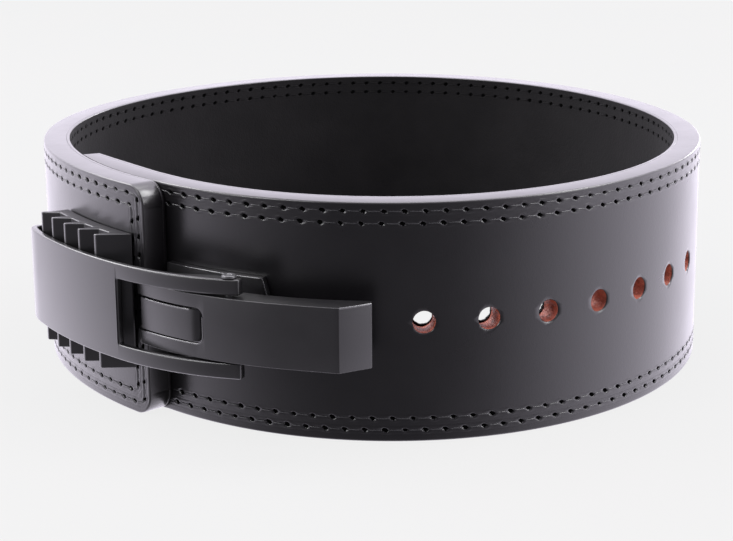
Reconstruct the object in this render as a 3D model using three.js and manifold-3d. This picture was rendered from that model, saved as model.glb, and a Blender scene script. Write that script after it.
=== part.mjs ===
// Weightlifting belt: a thick leather strap bent into one closed loop, fastened with a
// lever buckle, standing on its lower edge. Millimetres, +Z up, the buckle towards -Y.
import * as THREE from 'three';
import { mergeVertices } from 'three/addons/utils/BufferGeometryUtils.js';
import Module from 'manifold-3d';

const wasm = await Module();
wasm.setup();

// Strap
const strapHeight = 100;
const leatherThickness = 10.5;
const liningThickness = 1.2;
const liningInset = 0.5;
const rimChamfer = 1.5;
const endCornerRadius = 9;
const innerEndSkive = 6.5;
const fitClearance = 0.3;

// Loop seen from above: its size, where the buckle sits, and how it departs from a circle.
// Each wave is a share of the loop radius that peaks at the given bearing.
const loopRadius = 148.5;
const buckleBearing = 222;
const planWaves = [
  { count: 2, share: 0.06, peakBearing: 96 },
  { count: 3, share: 0.008, peakBearing: 60 },
  { count: 4, share: 0.0095, peakBearing: 85 },
];

// Both ends, measured along the strap from the middle line of the rack
const innerEndReach = 55;
const outerEndReach = 28;

// Row of punched adjustment holes, the first ones under the lever
const punchRadius = 4.65;
const punchPitch = 27.2;
const firstPunch = 39.2;
const punchCount = 11;
const punchHeight = 50.5;

// Heights of the buckle's pieces are counted from its middle line
const buckleHeight = 50;

// Rack: a plate with slanted fins on the overlapping end
const rackHalfHeight = 29.2;
const rackBody = 5.4;
const finCount = 5;
const finPitch = 11.7;
const firstFin = 14.6;
const finRise = 6.7;
const finReach = 4.6;
const finRoot = 4.5;
const finEdge = 1.5;
const rackRampLength = 8.4;
const rackRampFoot = 1.6;
const rivetRadius = 2.5;
const rivetHeadRadius = 5;
const rivetHeadThickness = 1.2;
const rivetSink = 0.5;
const rivetSinkDepth = 1.7;

// Bail: the curved frame that hooks over the last fin
const bailHalfHeight = 20.7;
const bailThickness = 3;
const bailArmHeight = 6.6;
const bailOverhang = 11.8;
const bailCurl = 1.5;
const bailWindowStart = 30.2;
const bailArmLength = 51.3;
const bailArmDrop = 6.4;
const bailEyeWall = 0.7;
const bailEyeBlend = 18;
const hookThickness = 2.7;
const hookDepth = 10.2;

// Lever, its pivot on the base and its pivot in the bail
const leverHalfHeight = 13.3;
const leverWall = 2.4;
const leverPlate = 2.2;
const leverCrown = 24;
const leverUnderside = 13;
const leverLength = 90.9;
const leverDip = 2;
const leverDipLength = 25;
const leverTipRise = 1.2;
const leverTipRamp = 19.8;
const leverTipBevel = 10.3;
const leverTipBevelDepth = 8.5;
const leverTipBlock = 22;
const leverKnuckleRadius = 5;
const pivotAlong = 37.2;
const pivotOut = 15.6;
const leverPinRadius = 1.9;
const bailPinSetback = 4.5;
const bailPinRadius = 1.6;
const bailPinHeadRadius = 3.1;
const bailPinHeadThickness = 1.2;
const pinClearance = 0.1;

// Lock tongue set into the lever
const tongueHalfHeight = 6.6;
const tonguePlate = 2.2;
const tongueGap = 1;
const tongueEnd = 66.9;
const tongueRoll = 4.2;
const tongueCornerRadius = 2.5;
const tongueWeb = 7;

// Base: the plate screwed to the strap, with two ears for the lever
const baseHalfHeight = 17.2;
const baseThickness = 3;
const baseStart = 33.2;
const baseEnd = 85.5;
const baseEndBow = 3.2;
const earThickness = 2.2;
const earRadius = 3.6;
const earFoot = 14;
const postHeadRadius = 7;
const postHeadThickness = 1.5;
const screwRadius = 2.5;
const screwHeadRadius = 4.5;
const screwHeadThickness = 1.4;

// Levels above the outer face of the inner layer, worked out from the sizes above
const strapThickness = leatherThickness + fitClearance + liningThickness;
const layerPitch = strapThickness + fitClearance;
const rackUnderside = layerPitch + fitClearance;
const rackFloor = rackUnderside + rackBody;
const finTip = rackFloor + finRise;
const lastFin = firstFin - finPitch * (finCount - 1);
const bailOuter = finTip + fitClearance + bailThickness;
const bailArmEnd = bailWindowStart + bailArmLength;
const bailWindowHalfHeight = bailHalfHeight - bailArmHeight;
const bailPinAlong = bailArmEnd - bailPinSetback;
const bailPinOut = leverCrown - leverPlate - fitClearance - bailPinRadius;
const baseTop = fitClearance + baseThickness;
const hollowHalfHeight = leverHalfHeight - leverWall;
const leverTip = pivotAlong + leverLength;
const leverShoulder = leverTip - leverTipBevel;

// Sampling of curves
const strapStep = THREE.MathUtils.degToRad(3.6);
const cornerSteps = 5;
const plateStep = 4;
const roundSegments = 24;

// Plan of the strap: a spiral that steps out by one layer in each turn

function loopRadiusAt(turn) {
  const bearing = turn + THREE.MathUtils.degToRad(buckleBearing);
  let share = 1;
  for (const wave of planWaves) {
    share += wave.share * Math.cos(wave.count * (bearing - THREE.MathUtils.degToRad(wave.peakBearing)));
  }
  return loopRadius * share + layerPitch * turn / (2 * Math.PI);
}

function centreAt(turn) {
  const bearing = turn + THREE.MathUtils.degToRad(buckleBearing);
  return new THREE.Vector2(Math.cos(bearing), Math.sin(bearing)).multiplyScalar(loopRadiusAt(turn));
}

function tangentAt(turn) {
  const small = 1e-4;
  return centreAt(turn + small).sub(centreAt(turn - small)).normalize();
}

// The point beside the centre line at this turn, positive away from the wearer
function besideCentre(turn, out) {
  const tangent = tangentAt(turn);
  return centreAt(turn).add(new THREE.Vector2(tangent.y, -tangent.x).multiplyScalar(out));
}

// Length along the outer face of the inner layer, from the place where the turn is nought
function tabulateFace(firstDegree, lastDegree, stepDegree) {
  const table = [];
  let length = 0;
  let before = null;
  for (let degree = firstDegree; degree <= lastDegree; degree += stepDegree) {
    const turn = THREE.MathUtils.degToRad(degree);
    const point = besideCentre(turn, strapThickness / 2);
    length += before ? point.distanceTo(before) : 0;
    table.push({ turn, length });
    before = point;
  }
  const start = table.find((row) => row.turn >= 0).length;
  return table.map((row) => ({ turn: row.turn, length: row.length - start }));
}

const faceTable = tabulateFace(-60, 190, 0.5);

function turnAt(along) {
  const next = Math.max(1, faceTable.findIndex((row) => row.length >= along));
  const low = faceTable[next - 1];
  const high = faceTable[next];
  return low.turn + (high.turn - low.turn) * (along - low.length) / (high.length - low.length);
}

// A place by its distance along the strap and its height above the inner layer
function spot(along, out) {
  return besideCentre(turnAt(along), strapThickness / 2 + out);
}

// Solids

function toSolid(geometry) {
  const bare = geometry.clone();
  bare.deleteAttribute('normal');
  bare.deleteAttribute('uv');
  const merged = mergeVertices(bare, 1e-4);
  const index = merged.index.array;
  const corners = [];
  for (let i = 0; i < index.length; i += 3) {
    const [a, b, c] = [index[i], index[i + 1], index[i + 2]];
    if (a !== b && b !== c && c !== a) corners.push(a, b, c);
  }
  return new wasm.Manifold(new wasm.Mesh({
    numProp: 3,
    vertProperties: new Float32Array(merged.attributes.position.array),
    triVerts: new Uint32Array(corners),
  }));
}

function toMesh(name, solid, material) {
  const shell = solid.getMesh();
  const geometry = new THREE.BufferGeometry();
  geometry.setAttribute('position', new THREE.BufferAttribute(new Float32Array(shell.vertProperties), 3));
  geometry.setIndex(new THREE.BufferAttribute(new Uint32Array(shell.triVerts), 1));
  const mesh = new THREE.Mesh(geometry, material);
  mesh.name = name;
  return mesh;
}

// An outline drawn in plan and raised between two heights about the middle of the buckle
function raised(outline, low, high) {
  const geometry = new THREE.ExtrudeGeometry(new THREE.Shape(outline), {
    depth: high - low,
    bevelEnabled: false,
  });
  return toSolid(geometry.translate(0, 0, buckleHeight + low));
}

// The frame of a piece that stands square to the strap: X along it, Y up, Z away from it
function squareTo(along, out, height) {
  const tangent = tangentAt(turnAt(along));
  const place = spot(along, out);
  return new THREE.Matrix4()
    .makeBasis(
      new THREE.Vector3(tangent.x, tangent.y, 0),
      new THREE.Vector3(0, 0, 1),
      new THREE.Vector3(tangent.y, -tangent.x, 0),
    )
    .setPosition(place.x, place.y, height);
}

// An outline drawn on the face of the buckle and pushed through square to it
function pushedThrough(outline, along, low, high) {
  const geometry = new THREE.ExtrudeGeometry(new THREE.Shape(outline), {
    depth: high - low,
    bevelEnabled: false,
  });
  return toSolid(geometry.applyMatrix4(squareTo(along, low, buckleHeight)));
}

function turned(profile) {
  const points = profile.map(([radius, height]) => new THREE.Vector2(radius, height));
  return new THREE.LatheGeometry(points, roundSegments).rotateX(Math.PI / 2);
}

// A turned piece square to the strap, on the line of the punched holes
function turnedSquare(profile, along) {
  return toSolid(turned(profile).applyMatrix4(squareTo(along, 0, punchHeight)));
}

// A turned piece standing upright, its heights counted from the middle of the buckle
function turnedUpright(profile, along, out) {
  const place = spot(along, out);
  return toSolid(turned(profile).translate(place.x, place.y, buckleHeight));
}

function uprightRod(radius, halfHeight, along, out) {
  return turnedUpright([[0, -halfHeight], [radius, -halfHeight], [radius, halfHeight], [0, halfHeight]], along, out);
}

function squareRod(radius, low, high, along) {
  return turnedSquare([[0, low], [radius, low], [radius, high], [0, high]], along);
}

// Points of a line that follows the strap, at a height that may change along it
function follow(from, to, outAt) {
  const count = Math.max(1, Math.ceil(Math.abs(to - from) / plateStep));
  const points = [];
  for (let i = 0; i <= count; i += 1) {
    const along = from + (to - from) * i / count;
    points.push(spot(along, outAt(along)));
  }
  return points;
}

// Points of an arc, with angles in degrees: 0 along the strap, 90 away from it
function arcAbout(along, out, radius, fromDegree, toDegree, count) {
  const points = [];
  for (let i = 0; i <= count; i += 1) {
    const angle = THREE.MathUtils.degToRad(fromDegree + (toDegree - fromDegree) * i / count);
    points.push(spot(along + radius * Math.cos(angle), out + radius * Math.sin(angle)));
  }
  return points;
}

// Strap

// Rows of one rounded end: how far each lies from the end and how much height it loses
function endRows(radius) {
  return Array.from({ length: cornerSteps + 1 }, (_, i) => {
    const angle = (Math.PI / 2) * (i / cornerSteps);
    return { back: radius * (1 - Math.cos(angle)), drop: radius * (1 - Math.sin(angle)) };
  });
}

// Turns where the strap has a section, closer together at its rounded end corners
function strapStations(startTurn, endTurn, radius) {
  const rows = endRows(radius);
  const first = startTurn + radius / loopRadiusAt(startTurn);
  const last = endTurn - radius / loopRadiusAt(endTurn);
  const count = Math.ceil((last - first) / strapStep);
  const between = Array.from({ length: count - 1 }, (_, i) => (
    { turn: first + (last - first) * (i + 1) / count, drop: 0 }
  ));
  return [
    ...rows.map(({ back, drop }) => ({ turn: startTurn + back / loopRadiusAt(startTurn), drop })),
    ...between,
    ...rows.reverse().map(({ back, drop }) => ({ turn: endTurn - back / loopRadiusAt(endTurn), drop })),
  ];
}

// Section of a band as distances from the centre line and heights, its corners cut off
function bandSection(inner, outer, low, high, chamfer) {
  if (chamfer === 0) return [[inner, low], [outer, low], [outer, high], [inner, high]];
  return [
    [inner + chamfer, low],
    [outer - chamfer, low],
    [outer, low + chamfer],
    [outer, high - chamfer],
    [outer - chamfer, high],
    [inner + chamfer, high],
    [inner, high - chamfer],
    [inner, low + chamfer],
  ];
}

// How much of the wearer's side is pared away at this turn, towards the inner end
function skiveAt(turn) {
  const share = Math.max(0, (turnAt(0) - turn) / (turnAt(0) - turnAt(-innerEndReach)));
  return innerEndSkive * share ** 2;
}

// A band between two distances from the centre line, set back from the edges of the strap
function band(inner, outer, inset, chamfer) {
  const startTurn = turnAt(inset - innerEndReach);
  const endTurn = 2 * Math.PI + turnAt(outerEndReach - inset);
  const stations = strapStations(startTurn, endTurn, endCornerRadius - inset);
  return lofted(stations.map(({ turn, drop }) => {
    const section = bandSection(inner, outer, inset + drop, strapHeight - inset - drop, chamfer);
    return section.map(([out, height]) => {
      const point = besideCentre(turn, out < 0 ? out + skiveAt(turn) : out);
      return new THREE.Vector3(point.x, point.y, height);
    });
  }));
}

function lofted(rings) {
  const size = rings[0].length;
  const lastRing = (rings.length - 1) * size;
  const index = [];
  for (let start = 0; start < lastRing; start += size) {
    for (let j = 0; j < size; j += 1) {
      const here = start + j;
      const next = start + (j + 1) % size;
      index.push(here, here + size, next, next, here + size, next + size);
    }
  }
  for (let j = 1; j + 1 < size; j += 1) {
    index.push(0, j, j + 1);
    index.push(lastRing, lastRing + j + 1, lastRing + j);
  }
  const geometry = new THREE.BufferGeometry().setFromPoints(rings.flat());
  geometry.setIndex(index);
  return toSolid(geometry);
}

const punchPlaces = Array.from({ length: punchCount }, (_, i) => firstPunch + punchPitch * i);

// The two holes nearest the inner end carry the base
const postPlaces = punchPlaces.slice(0, 2);

// The rack's rivets stand in the middle of the floor to the right of its third and fifth fins
const rivetPlaces = [2, 4].map((fin) => firstFin - finPitch * fin + finReach + (finPitch - finRoot) / 2);

function cutAt(solid, places, cutter) {
  return places.reduce((left, along) => left.subtract(cutter(along)), solid);
}

function punchCutter(along) {
  return squareRod(punchRadius, -strapThickness - fitClearance, fitClearance / 2, along);
}

function strapLeather() {
  const inner = liningThickness + fitClearance - strapThickness / 2;
  const whole = band(inner, strapThickness / 2, 0, rimChamfer);
  const rivetHole = (along) => squareRod(rivetRadius + fitClearance, fitClearance / 2, rackUnderside, along);
  return cutAt(cutAt(whole, punchPlaces, punchCutter), rivetPlaces, rivetHole);
}

function strapLining() {
  const inner = -strapThickness / 2;
  const whole = band(inner, inner + liningThickness, liningInset, 0);
  const headTop = fitClearance + liningThickness + fitClearance / 2;
  const headHole = (along) => squareRod(rivetHeadRadius + fitClearance, fitClearance / 2, headTop, along);
  return cutAt(cutAt(whole, punchPlaces, punchCutter), rivetPlaces, headHole);
}

// Rack

// Each fin has a flat edge and leans away from the first, which ramps down to the end of the plate
function rackOutline() {
  const rackEnd = firstFin + rackRampLength;
  const outline = follow(lastFin + finReach - finRoot, rackEnd, () => rackUnderside);
  outline.push(spot(rackEnd, rackUnderside + rackRampFoot));
  for (let fin = 0; fin < finCount; fin += 1) {
    const tip = firstFin - finPitch * fin;
    if (fin > 0) outline.push(spot(tip + finReach, rackFloor));
    outline.push(spot(tip, finTip));
    outline.push(spot(tip - finEdge, finTip));
    outline.push(spot(tip + finReach - finRoot, rackFloor));
  }
  return outline;
}

function rackHole(along) {
  const radius = rivetRadius + fitClearance;
  const sunkRadius = radius + rivetSink;
  return turnedSquare([
    [0, layerPitch],
    [radius, layerPitch],
    [radius, rackFloor - rivetSinkDepth],
    [sunkRadius, rackFloor],
    [sunkRadius, rackFloor + fitClearance],
    [0, rackFloor + fitClearance],
  ], along);
}

function rack() {
  const plate = raised(rackOutline(), -rackHalfHeight, rackHalfHeight);
  return cutAt(plate, rivetPlaces, rackHole);
}

// Rivet with a flat head set in the lining and a sunk head just below the rack's floor
function rackRivet(along) {
  const headTop = fitClearance + rivetHeadThickness;
  const top = rackFloor - fitClearance / 2;
  return turnedSquare([
    [0, fitClearance],
    [rivetHeadRadius, fitClearance],
    [rivetHeadRadius, headTop],
    [rivetRadius, headTop],
    [rivetRadius, top - rivetSinkDepth],
    [rivetRadius + rivetSink, top],
    [0, top],
  ], along);
}

// Bail

// The frame lies on the fins, curls down beyond the last one and drops along its arms
function bailOuterAt(along) {
  const curl = Math.max(0, (lastFin - along) / bailOverhang);
  const arm = Math.max(0, (along - bailWindowStart) / bailArmLength);
  return bailOuter - bailCurl * curl ** 2 - bailArmDrop * arm ** 2;
}

// The arms deepen into an eye round the bail pin
function bailInnerAt(along) {
  const eyeInner = bailPinOut - bailPinRadius - bailEyeWall;
  const eyeStart = bailPinAlong - 2 * bailPinRadius;
  const eye = THREE.MathUtils.smoothstep(along, eyeStart - bailEyeBlend, eyeStart);
  return THREE.MathUtils.lerp(bailOuterAt(along) - bailThickness, eyeInner, eye);
}

// Where the hook ends at this level: just short of the last fin's steep face
function hookEndAt(out) {
  const slope = (finEdge + finReach - finRoot) / finRise;
  return lastFin - finEdge + slope * (finTip - out) - 2 * fitClearance;
}

function bailOutline() {
  const left = lastFin - bailOverhang;
  const leftTop = bailOuterAt(left);
  const hookBottom = bailOuter - hookDepth;
  const hookTop = hookBottom + hookThickness;
  const hookInside = left + hookThickness;
  const round = hookThickness / 2;
  return [
    ...follow(left + round, bailArmEnd, bailOuterAt),
    ...follow(bailArmEnd, hookInside + round, bailInnerAt),
    spot(hookInside, leftTop - bailThickness - round),
    spot(hookInside, hookTop + round),
    spot(hookInside + round, hookTop),
    spot(hookEndAt(hookTop), hookTop),
    spot(hookEndAt(hookBottom), hookBottom),
    spot(left + round, hookBottom),
    spot(left, hookBottom + round),
    spot(left, leftTop - round),
  ];
}

function bailWindow() {
  const past = bailArmEnd + bailThickness;
  return [
    ...follow(bailWindowStart, past, () => rackUnderside),
    ...follow(past, bailWindowStart, () => bailOuter + bailThickness),
  ];
}

function bail() {
  return raised(bailOutline(), -bailHalfHeight, bailHalfHeight)
    .subtract(raised(bailWindow(), -bailWindowHalfHeight, bailWindowHalfHeight))
    .subtract(uprightRod(bailPinRadius + pinClearance, strapHeight, bailPinAlong, bailPinOut));
}

// Pin through both arms and the lever: a rounded head on the upper arm, flush with the lower one
function bailPin() {
  const shoulder = bailHalfHeight + fitClearance;
  const top = shoulder + bailPinHeadThickness;
  return turnedUpright([
    [0, -bailHalfHeight],
    [bailPinRadius, -bailHalfHeight],
    [bailPinRadius, shoulder],
    [bailPinHeadRadius, shoulder],
    [bailPinHeadRadius, (shoulder + top) / 2],
    [bailPinRadius, top],
    [0, top],
  ], bailPinAlong, bailPinOut);
}

// Lever

// The handle's back dips at the pivot and rises again at its tip
function leverOuterAt(along) {
  const dip = Math.max(0, (pivotAlong + leverDipLength - along) / leverDipLength);
  const rise = Math.max(0, (along - leverShoulder + leverTipRamp) / leverTipRamp);
  return leverCrown - leverDip * dip ** 2 + leverTipRise * rise ** 2;
}

function leverOutline() {
  const tipOut = leverOuterAt(leverShoulder) - leverTipBevelDepth;
  const tipRound = leverPlate / 2;
  const heelOut = leverOuterAt(pivotAlong) - leverPlate / 3;
  return [
    ...arcAbout(pivotAlong, pivotOut, leverKnuckleRadius, -30, -225, 10),
    spot(pivotAlong - leverPlate, heelOut),
    ...follow(pivotAlong, leverShoulder, leverOuterAt),
    spot(leverTip, tipOut),
    spot(leverTip, leverUnderside + tipRound),
    ...follow(leverTip - tipRound, pivotAlong + leverKnuckleRadius, () => leverUnderside),
  ];
}

// The lever is a channel, open below, up to the solid block at its tip
function leverHollow() {
  const blockStart = leverTip - leverTipBlock;
  const outside = pivotAlong - 2 * leverKnuckleRadius;
  return [
    ...follow(outside, blockStart, () => baseTop),
    ...follow(blockStart, pivotAlong, (along) => leverOuterAt(along) - leverPlate),
    spot(outside, leverOuterAt(pivotAlong) - leverPlate),
  ];
}

// How far a place lies beside another one, measured square to the strap at that other one
function reachFrom(middle, along, out) {
  return spot(along, out).sub(spot(middle, 0)).dot(tangentAt(turnAt(middle)));
}

// The lock tongue's outline with a gap round it, its far corners rounded, from a level outwards
function tongueBlank(gap, low) {
  const middle = (pivotAlong + tongueEnd) / 2;
  const half = tongueHalfHeight + gap;
  const corner = tongueCornerRadius + gap;
  const end = reachFrom(middle, tongueEnd + gap, leverCrown);
  const start = reachFrom(middle, pivotAlong - 2 * leverKnuckleRadius, leverCrown);
  const shape = new THREE.Shape();
  shape.moveTo(start, -half);
  shape.lineTo(end - corner, -half);
  shape.absarc(end - corner, corner - half, corner, -Math.PI / 2, 0);
  shape.absarc(end - corner, half - corner, corner, 0, Math.PI / 2);
  shape.lineTo(start, half);
  return pushedThrough(shape.getPoints(cornerSteps), middle, low, leverCrown + leverKnuckleRadius);
}

function lever() {
  return raised(leverOutline(), -leverHalfHeight, leverHalfHeight)
    .subtract(raised(leverHollow(), -hollowHalfHeight, hollowHalfHeight))
    .subtract(tongueBlank(tongueGap, pivotOut))
    .subtract(uprightRod(leverPinRadius + pinClearance, strapHeight, pivotAlong, pivotOut))
    .subtract(uprightRod(bailPinRadius + pinClearance, strapHeight, bailPinAlong, bailPinOut));
}

function leverPin() {
  return uprightRod(leverPinRadius, leverHalfHeight - fitClearance, pivotAlong, pivotOut);
}

// Lock tongue

// A plate level with the lever's back, its free end rolled in, its root round the lever pin
function tongueOutline() {
  const faceAt = (along) => leverOuterAt(along) - fitClearance / 2;
  const rollAlong = tongueEnd - tongueRoll;
  const rollOut = faceAt(rollAlong) - tongueRoll;
  return [
    ...arcAbout(pivotAlong, pivotOut, earRadius, -20, -235, 10),
    ...follow(pivotAlong, rollAlong, faceAt),
    ...arcAbout(rollAlong, rollOut, tongueRoll, 70, -10, 4),
    ...arcAbout(rollAlong, rollOut, tongueRoll - tonguePlate, -10, 80, 2),
    ...follow(rollAlong - tongueRoll, pivotAlong + tongueWeb, (along) => faceAt(along) - tonguePlate),
  ];
}

function lockTongue() {
  return raised(tongueOutline(), -tongueHalfHeight, tongueHalfHeight)
    .intersect(tongueBlank(0, baseTop))
    .subtract(uprightRod(leverPinRadius + pinClearance, strapHeight, pivotAlong, pivotOut));
}

// Base

function earOutline() {
  const foot = baseTop - baseThickness / 2;
  return [
    spot(pivotAlong - earRadius, foot),
    spot(pivotAlong + earFoot, foot),
    spot(pivotAlong + earFoot, baseTop + fitClearance),
    ...arcAbout(pivotAlong, pivotOut, earRadius, 20, 180, 8),
  ];
}

// What the bowed free end of the base leaves out of a square plate, above or below its middle
function baseEndTrim(side) {
  const reach = baseHalfHeight + baseThickness;
  const bow = Array.from({ length: cornerSteps + 1 }, (_, i) => {
    const share = i / cornerSteps;
    return new THREE.Vector2(-baseEndBow * share ** 2, side * baseHalfHeight * share);
  });
  const outline = [
    new THREE.Vector2(baseThickness, side * reach),
    new THREE.Vector2(baseThickness, 0),
    ...bow,
    new THREE.Vector2(-1.4 * baseEndBow, side * reach),
  ];
  return pushedThrough(outline, baseEnd, -baseThickness, 2 * baseTop);
}

function baseHole(along) {
  return squareRod(screwRadius + fitClearance, 0, 2 * baseTop, along);
}

function base() {
  const earOuter = hollowHalfHeight - fitClearance;
  const earInner = earOuter - earThickness;
  const plate = [
    ...follow(baseStart, baseEnd, () => fitClearance),
    ...follow(baseEnd, baseStart, () => baseTop),
  ];
  const whole = raised(plate, -baseHalfHeight, baseHalfHeight)
    .add(raised(earOutline(), earInner, earOuter))
    .add(raised(earOutline(), -earOuter, -earInner))
    .subtract(baseEndTrim(1))
    .subtract(baseEndTrim(-1))
    .subtract(uprightRod(leverPinRadius + pinClearance, strapHeight, pivotAlong, pivotOut));
  return cutAt(whole, postPlaces, baseHole);
}

// A flat head inside the belt, a barrel in the punched hole and a screw head on the base
function basePost(along) {
  const insideFace = -strapThickness - fitClearance;
  const rim = postHeadThickness / 2;
  const barrelRadius = punchRadius - fitClearance;
  const headLow = baseTop + fitClearance;
  const headTop = headLow + screwHeadThickness;
  return turnedSquare([
    [0, insideFace - postHeadThickness],
    [postHeadRadius - rim, insideFace - postHeadThickness],
    [postHeadRadius, insideFace - rim],
    [postHeadRadius, insideFace],
    [barrelRadius, insideFace],
    [barrelRadius, 0],
    [screwRadius, 0],
    [screwRadius, headLow],
    [screwHeadRadius, headLow],
    [screwHeadRadius, headTop - rim],
    [screwHeadRadius - rim, headTop],
    [0, headTop],
  ], along);
}

// Materials

const blackLeather = new THREE.MeshStandardMaterial({ color: 0x1d1c1f, roughness: 0.35, metalness: 0 });
const blackSuede = new THREE.MeshStandardMaterial({ color: 0x19181a, roughness: 0.95, metalness: 0 });
const blackPaint = new THREE.MeshStandardMaterial({ color: 0x2b2a2d, roughness: 0.45, metalness: 0.3 });
const darkSteel = new THREE.MeshStandardMaterial({ color: 0x55555a, roughness: 0.35, metalness: 0.9 });

// Assembly, moved so that the origin lies under the middle of the belt

const group = new THREE.Group();
group.add(
  toMesh('strap_leather', strapLeather(), blackLeather),
  toMesh('strap_lining', strapLining(), blackSuede),
  toMesh('rack', rack(), blackPaint),
  toMesh('bail', bail(), blackPaint),
  toMesh('bail_pin', bailPin(), darkSteel),
  toMesh('lever', lever(), blackPaint),
  toMesh('lever_pin', leverPin(), darkSteel),
  toMesh('lock_tongue', lockTongue(), blackPaint),
  toMesh('base', base(), blackPaint),
);
postPlaces.forEach((along, i) => group.add(toMesh(`base_post_${i + 1}`, basePost(along), darkSteel)));
rivetPlaces.forEach((along, i) => group.add(toMesh(`rack_rivet_${i + 1}`, rackRivet(along), darkSteel)));

const box = new THREE.Box3().setFromObject(group);
const middle = box.getCenter(new THREE.Vector3());
group.position.set(-middle.x, -middle.y, -box.min.z);

export default group;
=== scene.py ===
"""Weightlifting belt with a lever buckle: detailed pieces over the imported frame, studio and camera.

Sizes are in millimetres, the same as the solids'; vertices are placed in metres.
"""
import bpy
import math
import numpy as np
from mathutils import Matrix, Vector


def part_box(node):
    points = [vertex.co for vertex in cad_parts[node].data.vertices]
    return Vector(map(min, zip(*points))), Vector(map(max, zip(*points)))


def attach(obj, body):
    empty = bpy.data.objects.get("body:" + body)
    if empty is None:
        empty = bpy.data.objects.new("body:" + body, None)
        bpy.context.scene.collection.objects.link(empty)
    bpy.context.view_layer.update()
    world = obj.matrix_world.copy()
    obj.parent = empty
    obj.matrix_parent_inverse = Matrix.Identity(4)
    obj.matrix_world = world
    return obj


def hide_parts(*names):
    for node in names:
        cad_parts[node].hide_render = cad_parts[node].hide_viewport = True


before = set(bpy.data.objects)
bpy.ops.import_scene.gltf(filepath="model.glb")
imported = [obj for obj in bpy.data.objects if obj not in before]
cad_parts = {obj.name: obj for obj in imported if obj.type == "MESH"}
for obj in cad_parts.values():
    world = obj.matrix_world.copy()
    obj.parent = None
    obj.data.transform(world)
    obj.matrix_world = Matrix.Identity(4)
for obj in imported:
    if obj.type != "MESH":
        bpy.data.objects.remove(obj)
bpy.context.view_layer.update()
rng = np.random.default_rng(7)

MM = 0.001

# The strap: its layers, its plan as (waves a turn, share, bearing), and its ends
HEIGHT = 100.0
LEATHER, LINING, CLEAR = 10.5, 1.2, 0.3
WALL = LEATHER + CLEAR + LINING
PITCH = WALL + CLEAR
LOOP_RADIUS = 148.5
BUCKLE = math.radians(222)
WAVES = [(2, 0.06, math.radians(96)), (3, 0.008, math.radians(60)), (4, 0.0095, math.radians(85))]
INNER_END, OUTER_END, END_CORNER, SKIVE = -55.0, 28.0, 9.0, 6.5

# The buckle: heights of its middle and of the holes, places along the strap, heights above the inner layer
HOLE_ROW, ROW = 50.5, 50.0
PUNCHES = [39.2 + 27.2 * k for k in range(11)]
PUNCH_RADIUS = 4.65
PIVOT = (37.2, 15.6)
BAIL_PIN = (77.0, 19.9)
RACK_FLOOR = PITCH + CLEAR + 5.4
FIN_HEIGHT = 6.7
FIN_TIP = RACK_FLOOR + FIN_HEIGHT
FIRST_FIN, FIN_PITCH, FINS = 14.6, 11.7, 5
FIN_REACH, FIN_ROOT, FIN_EDGE = 4.6, 4.5, 1.5
LAST_FIN = FIRST_FIN - FIN_PITCH * (FINS - 1)
BAIL_THICKNESS = 3.0
BAIL_OUT = FIN_TIP + CLEAR + BAIL_THICKNESS


# ---- the strap's spiral, and places on it ----
def centre(turn):
    bearing = np.asarray(turn, float) + BUCKLE
    share = 1 + sum(a * np.cos(k * (bearing - p)) for k, a, p in WAVES)
    r = LOOP_RADIUS * share + PITCH * (bearing - BUCKLE) / (2 * np.pi)
    return np.stack([r * np.cos(bearing), r * np.sin(bearing)], -1)


def tangent_at(turn, small=1e-4):
    d = centre(turn + small) - centre(turn - small)
    return d / np.linalg.norm(d, axis=-1, keepdims=True)


def beside(turn, out):
    turn = np.asarray(turn, float)
    tangent = tangent_at(turn)
    normal = np.stack([tangent[..., 1], -tangent[..., 0]], -1)
    return centre(turn) + normal * np.asarray(out, float)[..., None]


TURNS = np.radians(np.linspace(-60, 440, 5001))


def lengths(out):
    p = beside(TURNS, np.full(TURNS.shape, out))
    run = np.concatenate([[0], np.cumsum(np.linalg.norm(np.diff(p, axis=0), axis=1))])
    return run - np.interp(0, TURNS, run)


FACE = lengths(WALL / 2)
MIDDLE = lengths(0.0)


def turn_at(t):
    return np.interp(t, FACE, TURNS)


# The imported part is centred, the spiral isn't: the lever's pin gives the way between them
lo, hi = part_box("lever_pin")
pin = beside(turn_at(PIVOT[0]), WALL / 2 + PIVOT[1])
OFFSET = np.array([(lo.x + hi.x) / 2, (lo.y + hi.y) / 2]) / MM - pin


def metres(plan, z):
    return np.concatenate([plan + OFFSET, np.asarray(z, float)[..., None]], -1) * MM


def spot(t, n, z):
    """Places on the buckle: t along the strap, n above the inner layer, z above the floor."""
    t, n, z = np.broadcast_arrays(np.asarray(t, float), n, z)
    return metres(beside(turn_at(t), WALL / 2 + n), z)


def on_strap(s, out, z):
    """Places on the strap: s along its middle from its inner end, out from its middle."""
    turn = np.interp(np.asarray(s, float) + S_START, MIDDLE, TURNS)
    pared = SKIVE * np.maximum(0, 1 - (turn - turn_at(INNER_END)) / (turn_at(0) - turn_at(INNER_END))) ** 2
    return metres(beside(turn, out + np.where(np.asarray(out) < 0, pared, 0)), z)


S_START = np.interp(turn_at(INNER_END), TURNS, MIDDLE)
S_END = np.interp(2 * np.pi + turn_at(OUTER_END), TURNS, MIDDLE)
STRAP_LENGTH = S_END - S_START
OVERLAP = np.interp(turn_at(OUTER_END - 3), TURNS, MIDDLE) - S_START


# ---- mesh helpers ----
def new_object(name, verts, faces, materials, indices=None, smooth=30):
    mesh = bpy.data.meshes.new(name)
    mesh.from_pydata([tuple(v) for v in verts], [], [tuple(int(i) for i in f) for f in faces])
    for m in materials:
        mesh.materials.append(m)
    if indices is not None:
        mesh.polygons.foreach_set("material_index", np.asarray(indices, np.int32))
    obj = bpy.data.objects.new(name, mesh)
    bpy.context.scene.collection.objects.link(obj)
    mesh.validate()
    finish_mesh(obj, smooth)
    return obj


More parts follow.
